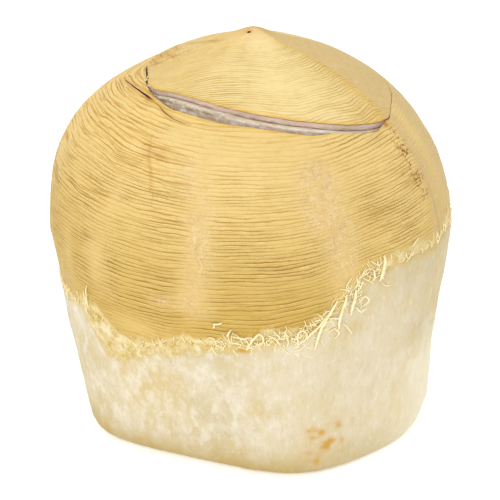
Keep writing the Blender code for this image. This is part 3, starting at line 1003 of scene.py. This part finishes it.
def make_husk():
    ring, azimuth, down = ring_grid(HUSK_COLUMNS, HUSK_ROWS)
    ragged = 0.9 * MM * ring_noise(ring, 41, 1.4) + 0.7 * MM * ring_noise(ring, 42, 4.0)
    top = level_at(ring, husk_edge(ring) + HUSK_RIM + ragged)
    level = top + (BASE_LEVEL - top) * down
    arc = arc_of(level)
    height = skin_point(azimuth, level)[1]
    streak = Noise(43, 1.6, 9.0 * MM)(azimuth, arc)
    lumps = Noise(44, 11.0, 9.0 * MM)(azimuth, arc)
    pits = Noise(45, 1.8, 1.8 * MM)(azimuth, arc)
    below = husk_edge(azimuth) - height
    turn = turn_from(azimuth, 0.0)
    knots = np.array(TORN_LOWER)
    torn = (height - np.interp(turn, knots[:, 0], knots[:, 1])) / MM
    torn = np.where((azimuth > TORN_LEFT) & (azimuth < TORN_RIGHT), torn, -10.0)
    tear = smooth_step(torn / 2.0)
    lip = over(below, 0.0, 2.0)
    out = 0.10 * MM + 0.12 * MM * streak + 0.35 * MM * lumps * over(height, 0.0, 6.0)
    out = out - 0.25 * MM * tear * (0.4 + 0.8 * pits) + 0.06 * MM * pits
    out = out * lip - LIP_INSET * (1.0 - lip)
    for *place_and_spread, rise in HUSK_SWELLINGS:
        out = out + rise * MM * patch(azimuth, height, *place_and_spread)
    points = place(azimuth, level, out * over(height, 0.0, 1.5))
    points[..., 2] = np.maximum(points[..., 2], 0.0)
    edge_radius, edge_height = skin_point(ring, top)
    inner = [
        xyz(ring, edge_radius - 2.2 * MM, edge_height - 2.0 * MM),
        xyz(ring, edge_radius - 0.8 * MM, edge_height - 0.1 * MM),
    ]
    base_radius = skin_point(ring, np.full_like(ring, BASE_LEVEL))[0]
    lower = [xyz(ring, base_radius * share, 0.0 * ring) for share in (0.97, 0.8, 0.5, 0.02)]
    grid = np.concatenate([np.stack(inner), points, np.stack(lower)])
    dots = smooth_step((Noise(46, 1.5, 1.6 * MM)(azimuth, arc) + 0.1) / 0.5)
    spots = spread_marks(azimuth, height, HUSK_STAINS)
    edge_stain = patch(azimuth, height, -12.5, 46.0, 2.0, 1.0)
    edge_stain = edge_stain + patch(azimuth, height, -2.8, 45.2, 2.2, 0.9)
    mottle = 0.25 + 0.75 * smooth_step((20.0 - turn) / 26.0)
    mottle = mottle + 0.5 * patch(azimuth, height, 60.0, 30.0, 30.0, 12.0)
    marks = {
        "foot": under(height, 13.0, 13.0) * (1.0 - 0.9 * sector(azimuth, 72.0, 40.0)),
        "tear": np.clip(torn, -10.0, 10.0),
        # Paler lower right: painted light.
        "pale": bell(turn - 72.0, 26.0) * under(height, 40.0, 16.0),
        "chalk": 0.5 * smooth_step((-62.0 - turn) / 16.0) * (1.0 - smooth_step((-100.0 - turn) / 20.0)),
        "below": below / MM,
        # The patch at 72 degrees adds pale blotches at the lower right, partly painted light.
        "mottle": mottle + 0.7 * patch(azimuth, height, 72.0, 10.0, 26.0, 12.0),
        "stain": np.clip(spots * (0.6 + 0.6 * dots) + edge_stain, 0.0, 1.0),
    }
    marks = padded(marks, len(inner), len(lower))
    thing = build("husk_skin", grid, in_grid(grid), marks, [cream], None, HUSK_SHARP_ANGLE)
    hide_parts("husk")


# Strength of the lid's ripples, as (azimuth, share).
LID_FORCE = (
    (-150.0, 0.5), (-110.0, 0.45), (-62.0, 0.35), (-45.0, 0.6), (-15.0, 0.85), (2.0, 0.6), (16.0, 0.4),
    (34.0, 0.6), (54.0, 1.0), (58.0, 0.8), (61.0, 0.12), (110.0, 0.1), (125.0, 0.4),
)

# Dark creases at the left of the lid: (azimuth, height in mm) points, and the radius there in metres.
LID_CREASES = (
    (((-112.0, 108.0), (-92.0, 109.4), (-82.0, 110.2)), 0.026),
    (((-112.0, 107.2), (-92.5, 108.6)), 0.027),
    (((-114.0, 110.6), (-92.2, 114.0), (-72.0, 115.2)), 0.014),
    (((-96.5, 107.3), (-83.5, 108.0)), 0.028),
    (((-122.0, 108.6), (-96.0, 110.6)), 0.024),
)
# Painted shade of the lid at these azimuths, darker away from the front.
LID_SHADE_TURNS = (-120.0, -50.0, -20.0, 8.0, 30.0, 50.0, 120.0)
LID_SHADE = (0.36, 0.3, 0.12, 0.0, 0.0, 0.25, 0.3)
LID_SCUFFS = ((70.0, 106.0, 14.0, 8.0, 1.0), (-75.0, 108.0, 16.0, 3.0, 0.8))
LID_COLUMNS = 280
LID_ROWS = 210
FLESH_COLUMNS = 360
LID_TOP_LEVEL = 0.998
LID_SEED = 71
LID_RIPPLE_DEPTH = 0.09 * MM
LID_SHARP_ANGLE = 55.0
FLESH_INSIDE = 6.0 * MM
# Place of the tip's pit, and azimuth of the crimped ridge at the right.
PIT_EAST = -1.3 * MM
PIT_SOUTH = 2.4 * MM
CRIMP_AZIMUTH = 58.0
# Rows of the lid's cut wall: share of the way down it, and share of its step inwards.
LID_WALL_ROWS = (
    (0.05, 0.0),
    (0.12, 0.3),
    (0.17, 1.0),
    (0.35, 1.0),
    (0.55, 1.0),
    (0.75, 1.0),
    (0.9, 1.0),
    (1.0, 1.1),
)


def wall_radius(ring, edge_radius):
    """Radius of the lid's cut wall, which stands back where the cut gapes."""
    return edge_radius - 0.1 * MM - NOTCH_OVERHANG * notch_share(ring)


def lid_wall(ring, edge, cut_edge):
    """Rows of points down the lid's cut wall and in under the lid."""
    edge_radius, edge_height = skin_point(ring, cut_edge)
    edge_height = edge_height + lid_lift(ring)
    wall = wall_radius(ring, edge_radius)
    drop = upright_wall(ring, edge)
    rows = []
    for down, inward in LID_WALL_ROWS:
        bumps = 0.12 * MM * ring_noise(ring, int(90 + down * 20), 1.6) * (inward > 0.5)
        reach = edge_radius * (1.0 - inward) + wall * inward + bumps
        rows.append(xyz(ring, reach - 0.05 * MM, edge_height - drop * down))
    rows.append(xyz(ring, wall - 4.0 * MM, edge_height - drop))
    rows.append(xyz(ring, 2.0 * MM + 0.0 * ring, np.full_like(ring, 112.0 * MM)))
    return np.stack(rows)


def make_lid():
    ring, azimuth, down = ring_grid(LID_COLUMNS, LID_ROWS)
    shut = shut_seam(ring, 36.0)
    jag = np.abs(ring_noise(ring, 83, 3.0))
    edge = lid_level(ring)
    cut_edge = edge + (0.0012 + 0.006 * sector(ring, -88.0, 32.0)) * jag - 0.0033 * shut
    level = LID_TOP_LEVEL + (cut_edge - LID_TOP_LEVEL) * down
    arc = arc_of(level)
    radius, height = skin_point(azimuth, level)
    straight = 0.9 - 0.6 * smooth_step((turn_from(azimuth, SEAM_MIDDLE) + 92.0) / 32.0)
    count, along = ripples(azimuth, arc, radius, (LID_CLIMB, LID_CLIMB), LID_PITCH, LID_SEED, straight)
    centre = over(radius, 4.0, 9.0)
    drift = Noise(84, 14.0, 5.0 * MM)(azimuth, arc)
    to_edge = (1.0 - down) * arc_of(LID_TOP_LEVEL - cut_edge)
    force = value_at(LID_FORCE, azimuth) * centre
    force = force * np.clip(0.9 + 0.3 * drift + 0.5 * bell(to_edge - 3.0 * MM, 4.0 * MM), 0.2, 1.3)
    swell = Noise(82, 16.0, 5.0 * MM)(azimuth, arc)
    rough = Noise(81, 4.0, 1.5 * MM)(azimuth, arc)
    out = 0.04 * MM * rough + 0.10 * MM * swell - LID_RIPPLE_DEPTH * ripple_relief(count, force)
    out = centre * out
    east = radius * np.sin(np.radians(azimuth))
    south = radius * np.cos(np.radians(azimuth))
    to_pit = np.hypot((east - PIT_EAST) * 0.75, south - PIT_SOUTH)
    nicks = sector(azimuth, -100.0, 10.0) * smooth_step(1.0 - to_edge / (6.0 * MM))
    nicks = nicks * np.maximum(0.0, np.cos(np.radians(azimuth * 62.0)))
    ridge = sector(azimuth, 57.5, 3.5) * over(radius, 4.0, 5.0)
    crimps = ridge * np.maximum(0.0, np.cos(2.0 * np.pi * count * 0.5))
    out = out - 0.5 * MM * bell(to_pit, 0.5 * MM) - 0.35 * MM * nicks
    out = out - 0.12 * MM * smooth_step((down - 0.99) / 0.01)
    out = out - 0.18 * MM * crimps
    points = place(azimuth, level, out)
    points[..., 2] += lid_lift(azimuth) * down
    below = lid_wall(ring, edge, cut_edge)
    grid = np.concatenate([points, below])
    zigzag = azimuth - CRIMP_AZIMUTH - 1.8 * np.cos(2.0 * np.pi * count * 0.5)
    # Right facet of the lid: its duller colour is partly painted shade.
    facet = smooth_step(zigzag / 1.8) * (1.0 - smooth_step((azimuth - 112.0) / 10.0))
    orange = 0.35 * bell(radius, 4.5 * MM) + 0.6 * nicks + 0.3 * crimps * bell(zigzag, 1.5)
    gaping = notch_share(ring) > 0.0
    # Gold along the ridge's crest is partly a painted highlight; along the cut edge it is the skin's golden
    # lip.
    gilt = 0.7 * ridge * bell(zigzag + 1.5, 2.0) + bell(to_edge, 0.8 * MM) * (0.25 + 0.75 * gaping)
    lines = (to_pit, np.full_like(arc, 0.42), np.ones_like(arc))
    slit, width, slit_dark = add_creases(azimuth, height, LID_CREASES, lines, 0.15, 0.32)
    marks = {
        "count": count,
        "along": along,
        "force": force,
        "band": 0.0 * arc,
        # Painted shade of the lid, by azimuth and in patches.
        "low": 0.1 * np.abs(swell) + np.interp(turn_from(azimuth, 0.0), LID_SHADE_TURNS, LID_SHADE),
        "above": np.full_like(arc, 50.0),
        "scuff": 0.3 * spread_marks(azimuth, height, LID_SCUFFS),
        "curl": 0.0 * arc,
        "facet": 0.7 * facet,
        "lid": 1.0 - 0.8 * facet - 0.5 * sector(azimuth, -90.0, 30.0),
        "lip": np.clip(gilt, 0.0, 1.0),
        "stain": np.clip(orange, 0.0, 1.0),
        "slit": np.abs(slit) / MM,
        "slit_width": width,
        "slit_dark": slit_dark,
        "thin": np.full_like(arc, 0.5),
        "edge": 0.0 * arc,
        "dirt_and_shade": 0.0 * arc,
    }
    marks = padded(marks, 0, len(below))
    marks["golden"] = np.broadcast_to(shut, grid.shape[:2]).copy()
    dirt_and_shade_noise = ring_noise(ring, 95, 3.0)
    for row, (share, _) in enumerate(LID_WALL_ROWS, LID_ROWS):
        # Top rows of the cut wall: brown outer edge, with painted shadow under the lip.
        marks["edge"][row] = 1.0 if share < 0.15 else 0.0
        # Greying towards the foot of the lid's cut wall, where it meets the ledge: dirt, with painted
        # shade.
        marks["dirt_and_shade"][row] = np.clip((share - 0.7) * 1.8 + 0.3 * dirt_and_shade_noise, 0.0, 1.0)
    slots = np.zeros((len(grid) - 1, LID_COLUMNS), dtype=int)
    slots[LID_ROWS - 1:] = 1
    thing = build("lid_skin", grid, in_grid(grid), marks, [gold, cut_face], slots.ravel(), LID_SHARP_ANGLE)
    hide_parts("lid_shell")


def make_lid_flesh():
    ring = np.linspace(-180.0, 180.0, FLESH_COLUMNS, endpoint=False)
    edge = lid_level(ring)
    edge_radius, edge_height = skin_point(ring, edge)
    cut = edge_height - CUT_DEPTH + GAP
    wall = wall_radius(ring, edge_radius)
    foot = edge_height + lid_lift(ring) - upright_wall(ring, edge)
    ledge = wall - 0.1 * MM + FLESH_LEDGE * notch_share(ring)
    ragged = ring_noise(ring, 158, 2.2)
    profile = [(wall - FLESH_INSIDE, foot + 0.3 * MM), (wall - 1.0 * MM, foot - 0.02 * MM)]
    for part in np.linspace(0.0, 1.0, 8):
        round_down = 0.5 * MM * (1.0 - math.sqrt(1.0 - (0.98 * part) ** 2))
        profile.append((wall + (ledge - wall) * part, foot - 0.03 * MM - round_down))
    for part in np.linspace(0.12, 1.0, 8):
        profile.append((ledge - 0.25 * MM * part, foot - 0.53 * MM + (cut - foot + 0.53 * MM) * part))
    profile.append((wall - FLESH_INSIDE, cut + 0.3 * MM))
    rings = []
    dirt_and_shade = []
    left = smooth_step((8.0 - turn_from(ring, 0.0)) / 30.0)
    for index, (radius, height) in enumerate(profile):
        lumps = ring_noise(ring, 120 + index // 2, 1.6) + 0.6 * ring_noise(ring, 140 + index, 1.0)
        show = 1.0 if 1 < index < len(profile) - 1 else 0.0
        down = 0.12 * MM if index > 4 else 0.03 * MM
        rings.append(xyz(ring, radius + 0.16 * MM * lumps * show, height + down * lumps * show))
        # Greying of the ledge next to the lid's wall and at its outer rim, more on the left: dirt, with
        # painted shade.
        high = np.clip(1.3 - 0.33 * (index - 2) + 0.35 * ragged, 0.0, 1.0)
        low = np.clip(1.1 - np.abs(index - 9.0 - 1.5 * ragged) / 3.5, 0.0, 1.0)
        dirt_and_shade.append(np.clip(0.8 * high * (1.0 - left) + left * (0.45 * high + 0.75 * low), 0.0, 1.0))
    grid = np.stack(rings)
    thing = build("lid_flesh_skin", grid, in_grid(grid), {"dirt_and_shade": np.stack(dirt_and_shade)}, [flesh_look])
    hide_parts("lid_flesh")


STRAND_SIDES = 5


def tubes(name, lines, look):
    """Thin round strands, one mesh: each line is (points, radii)."""
    points = []
    faces = []
    start = 0
    turns = np.linspace(0.0, 2.0 * np.pi, STRAND_SIDES, endpoint=False)
    here = np.arange(STRAND_SIDES)
    beside = (here + 1) % STRAND_SIDES
    quads = np.stack([here, beside, STRAND_SIDES + beside, STRAND_SIDES + here], -1)
    for line, radii in lines:
        ahead = np.gradient(line, axis=0)
        ahead /= np.linalg.norm(ahead, axis=1)[:, None] + 1e-12
        side = np.cross(ahead, (0.31, 0.52, 0.79))
        side /= np.linalg.norm(side, axis=1)[:, None] + 1e-12
        other = np.cross(ahead, side)
        ring = side[:, None] * np.cos(turns)[None, :, None] + other[:, None] * np.sin(turns)[None, :, None]
        points.append((line[:, None] + ring * radii[:, None, None]).reshape(-1, 3))
        for _ in range(len(line) - 1):
            faces.append(start + quads)
            start += STRAND_SIDES
        start += STRAND_SIDES
    return build(name, np.concatenate(points), np.concatenate(faces), {}, [look])


def strand(points, radius, lift, count, random, curl):
    """A strand over the surface through (azimuth, height in mm) points."""
    track = np.array(points, dtype=float)
    place_along = np.linspace(0.0, len(track) - 1.0, count)
    azimuth = np.interp(place_along, np.arange(len(track)), track[:, 0])
    height = np.interp(place_along, np.arange(len(track)), track[:, 1]) * MM
    for _ in range(4):
        azimuth[1:-1] = (azimuth[:-2] + 2.0 * azimuth[1:-1] + azimuth[2:]) / 4.0
        height[1:-1] = (height[:-2] + 2.0 * height[1:-1] + height[2:]) / 4.0
    wiggle = np.cumsum(random.normal(0.0, 1.0, (2, count)), axis=1)
    wiggle -= np.linspace(0.0, 1.0, count) * wiggle[:, -1:]
    azimuth = azimuth + curl * 0.35 * wiggle[0]
    height = height + curl * 0.25 * MM * wiggle[1]
    share = np.linspace(0.0, 1.0, count)
    out = radius * 0.6 + lift * np.sin(np.pi * share) ** 0.7
    line = place(azimuth, level_at(azimuth, height), out)
    radii = radius * (0.25 + 0.75 * np.sin(np.pi * np.clip(share * 0.9 + 0.08, 0.0, 1.0)) ** 0.6)
    return line, radii


# Long torn fibres of the husk as (azimuth, height in mm) points, with their radius in mm.
LONG_FIBRES = (
    (0.34, (22.8, 59.2), (19.6, 54.4), (17.7, 50.9), (17.2, 44.8)),
    (0.26, (20.2, 55.2), (18.0, 52.0), (15.5, 49.8), (12.0, 46.6)),
    (0.32, (25.3, 60.7), (23.9, 55.2), (23.5, 49.4)),
    (0.20, (19.8, 54.3), (21.8, 54.2), (23.9, 53.7)),
    (0.36, (28.1, 61.4), (27.0, 58.2), (26.8, 53.9)),
    (0.40, (37.1, 68.7), (36.1, 65.0), (35.6, 62.0)),
    (0.26, (33.6, 65.6), (33.1, 62.8)),
    (0.22, (-8.6, 54.2), (-10.0, 53.6), (-11.0, 52.0)),
    (0.22, (-5.9, 51.9), (-6.8, 50.8), (-6.7, 49.6)),
    (0.26, (-1.8, 45.4), (-0.2, 48.6), (1.5, 51.6), (2.8, 50.3), (3.1, 47.0)),
    (0.24, (3.9, 50.3), (5.9, 49.3), (7.6, 47.0)),
    (0.22, (5.6, 51.6), (7.0, 49.3)),
    (0.20, (-5.6, 49.6), (-3.2, 49.4), (-0.8, 49.6)),
    (0.22, (12.5, 47.0), (11.6, 49.6), (13.0, 52.2), (15.0, 50.8), (13.8, 47.5)),
    (0.20, (29.0, 57.0), (30.6, 59.2), (32.4, 57.2), (30.5, 55.5)),
    (0.18, (28.0, 56.0), (30.0, 54.5), (32.0, 55.0)),
    (0.18, (20.5, 49.5), (22.5, 51.0), (24.0, 49.0), (22.5, 47.2)),
    (0.18, (24.8, 51.5), (26.5, 50.0), (28.0, 47.5)),
    (0.20, (8.6, 50.8), (9.6, 48.6), (9.2, 46.4)),
    (0.16, (-52.8, 54.5), (-53.4, 51.0), (-54.5, 47.3)),
    (0.16, (-55.0, 52.0), (-54.2, 49.5), (-53.4, 46.5)),
)

# Pale chips along the lid's left seam: azimuth, height in mm, and the chip's run of both.
RIM_CHIPS = (
    (-74.0, 106.5, 3.0, -0.5),
    (-70.5, 106.6, 2.5, 0.2),
    (-68.0, 106.2, -2.5, -0.5),
    (-66.5, 106.1, 2.0, -0.5),
    (-63.5, 105.6, 2.5, 0.2),
)


# How many loose fibres there are: curls all along the front edge, more on the right, short ones
# all round.
EDGE_CURLS = 120
RIGHT_CURLS = 45
SHORT_FIBRES = 260


def curl_points(random, azimuth, height, reach, stride, bend, steps):
    """Points of a curl from an azimuth and a height in mm, which bends by up to an angle as it goes."""
    length = random.uniform(*reach) * stride
    turn = random.uniform(0.0, 2.0 * math.pi)
    bend = random.uniform(-bend, bend)
    points = [(azimuth, height)]
    for step in range(steps):
        angle = turn + bend * step / (steps - 1.0)
        azimuth = azimuth + length * math.cos(angle)
        height = height + length * math.sin(angle)
        points.append((azimuth, height))
    return points


def edge_height_at(azimuth):
    """Height of the husk's edge in mm."""
    return husk_edge(np.array([azimuth]))[0] / MM


def make_fibres():
    random = np.random.default_rng(5)
    lines = []
    for thick, *points in LONG_FIBRES:
        lines.append(strand(points, 1.25 * thick * MM, 0.6 * MM, 22, random, 0.25))
    for _ in range(EDGE_CURLS):
        a = random.choice([random.uniform(-12.0, 14.0), random.uniform(12.0, 36.0)])
        h = edge_height_at(a) + random.normal(-0.8, 1.3)
        points = curl_points(random, a, h, (1.2, 4.2), 0.28, 2.6, 4)
        thick = random.uniform(0.10, 0.20) * MM
        lines.append(strand(points, thick, random.uniform(0.0, 0.3) * MM, 12, random, 0.25))
    for _ in range(RIGHT_CURLS):
        a = random.uniform(10.0, 37.0)
        h = edge_height_at(a) + random.normal(-1.8, 2.2)
        points = curl_points(random, a, h, (2.0, 5.0), 0.22, 2.4, 5)
        lines.append(strand(points, random.uniform(0.09, 0.16) * MM, 0.15 * MM, 14, random, 0.2))
    for _ in range(SHORT_FIBRES):
        a = random.uniform(-180.0, 180.0)
        h = edge_height_at(a) + random.normal(-0.6, 1.0)
        reach = random.uniform(0.8, 2.6)
        lean = random.normal(0.0, 0.8)
        points = [(a, h), (a + 0.5 * reach * lean, h + 0.6 * reach), (a + reach * lean, h + reach)]
        thick = random.uniform(0.10, 0.16) * MM
        lines.append(strand(points, thick, random.uniform(0.25, 0.45) * MM, 8, random, 0.2))
    pale = fibre_look("pale_fibre", rgb(255, 247, 208), rgb(252, 232, 174))
    thing = tubes("husk_fibres", lines, pale)
    chips = []
    for a, h, lean, rise in RIM_CHIPS:
        points = [(a, h), (a + 0.5 * lean, h + 0.3 * rise), (a + lean, h + rise)]
        chips.append(strand(points, 0.2 * MM, 0.35 * MM, 8, random, 0.2))
    chip = tubes("rim_chips", chips, fibre_look("rim_chip", rgb(252, 230, 180), rgb(230, 196, 140)))


FLOOR_HALF = 2.5
FLOOR_LOOK = {
    "Base Color": (0.93, 0.93, 0.93, 1.0),
    "Roughness": 0.9,
    "Specular IOR Level": 0.1,
    "Emission Color": (0.97, 0.985, 1.0, 1.0),
    "Emission Strength": 0.32,
}


def make_stage():
    floor = bpy.data.meshes.new("floor")
    sides = ((-1.0, -1.0), (1.0, -1.0), (1.0, 1.0), (-1.0, 1.0))
    floor.from_pydata([(x * FLOOR_HALF, y * FLOOR_HALF, 0.0) for x, y in sides], [], [(0, 1, 2, 3)])
    look = bpy.data.materials.new("floor")
    look.use_nodes = True
    for key, value in FLOOR_LOOK.items():
        look.node_tree.nodes["Principled BSDF"].inputs[key].default_value = value
    floor.materials.append(look)
    thing = bpy.data.objects.new("floor", floor)
    bpy.context.scene.collection.objects.link(thing)


def aimed(thing, spot, aim):
    """Puts a lamp or the camera at a spot, facing its aim."""
    thing.location = spot
    thing.rotation_euler = (Vector(aim) - Vector(spot)).to_track_quat("-Z", "Y").to_euler()
    bpy.context.scene.collection.objects.link(thing)


def area_light(name, spot, size, power):
    data = bpy.data.lights.new(name, "AREA")
    data.shape = "DISK"
    data.size = size
    data.energy = power
    aimed(bpy.data.objects.new(name, data), spot, (0.0, 0.0, EQUATOR_HEIGHT))


SKY_STRENGTH = 0.95
# Lamps: name, place and size in metres, and power in watts.
LAMPS = (
    ("key", (-0.40, -0.85, 0.80), 0.4, 3.6),
    ("top", (0.0, 0.5, 1.6), 1.6, 5.0),
)


def make_light():
    world = bpy.data.worlds.new("studio")
    world.use_nodes = True
    sky = world.node_tree.nodes["Background"]
    sky.inputs["Color"].default_value = (1.0, 1.0, 1.0, 1.0)
    sky.inputs["Strength"].default_value = SKY_STRENGTH
    bpy.context.scene.world = world
    for lamp in LAMPS:
        area_light(*lamp)


CAMERA_AIM = (-1.0 * MM, 0.0, 48.9 * MM)
CAMERA_ELEVATION = 24.0
CAMERA_DISTANCE = 380.0 * MM
CAMERA_PIVOT = 58.0 * MM
FOCAL_PIXELS = 1256.0
IMAGE_PIXELS = 500.0
SENSOR = 36.0


def make_camera():
    lean = math.radians(CAMERA_ELEVATION)
    rise = CAMERA_PIVOT + CAMERA_DISTANCE * math.sin(lean)
    data = bpy.data.cameras.new("camera")
    data.sensor_width = SENSOR
    data.lens = FOCAL_PIXELS / IMAGE_PIXELS * SENSOR
    data.clip_start = 0.01
    eye = bpy.data.objects.new("camera", data)
    aimed(eye, (0.0, -CAMERA_DISTANCE * math.cos(lean), rise), CAMERA_AIM)
    bpy.context.scene.camera = eye


def dress_hidden():
    for node, look in (("flesh", flesh_look), ("coconut_water", still_water())):
        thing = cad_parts[node]
        if not thing.material_slots:
            thing.data.materials.append(look)
        for slot in thing.material_slots:
            slot.material = look


bpy.context.scene.view_settings.view_transform = "Standard"
make_camera()
make_light()
make_stage()
make_shell()
make_husk()
make_lid()
make_lid_flesh()
make_fibres()
dress_hidden()
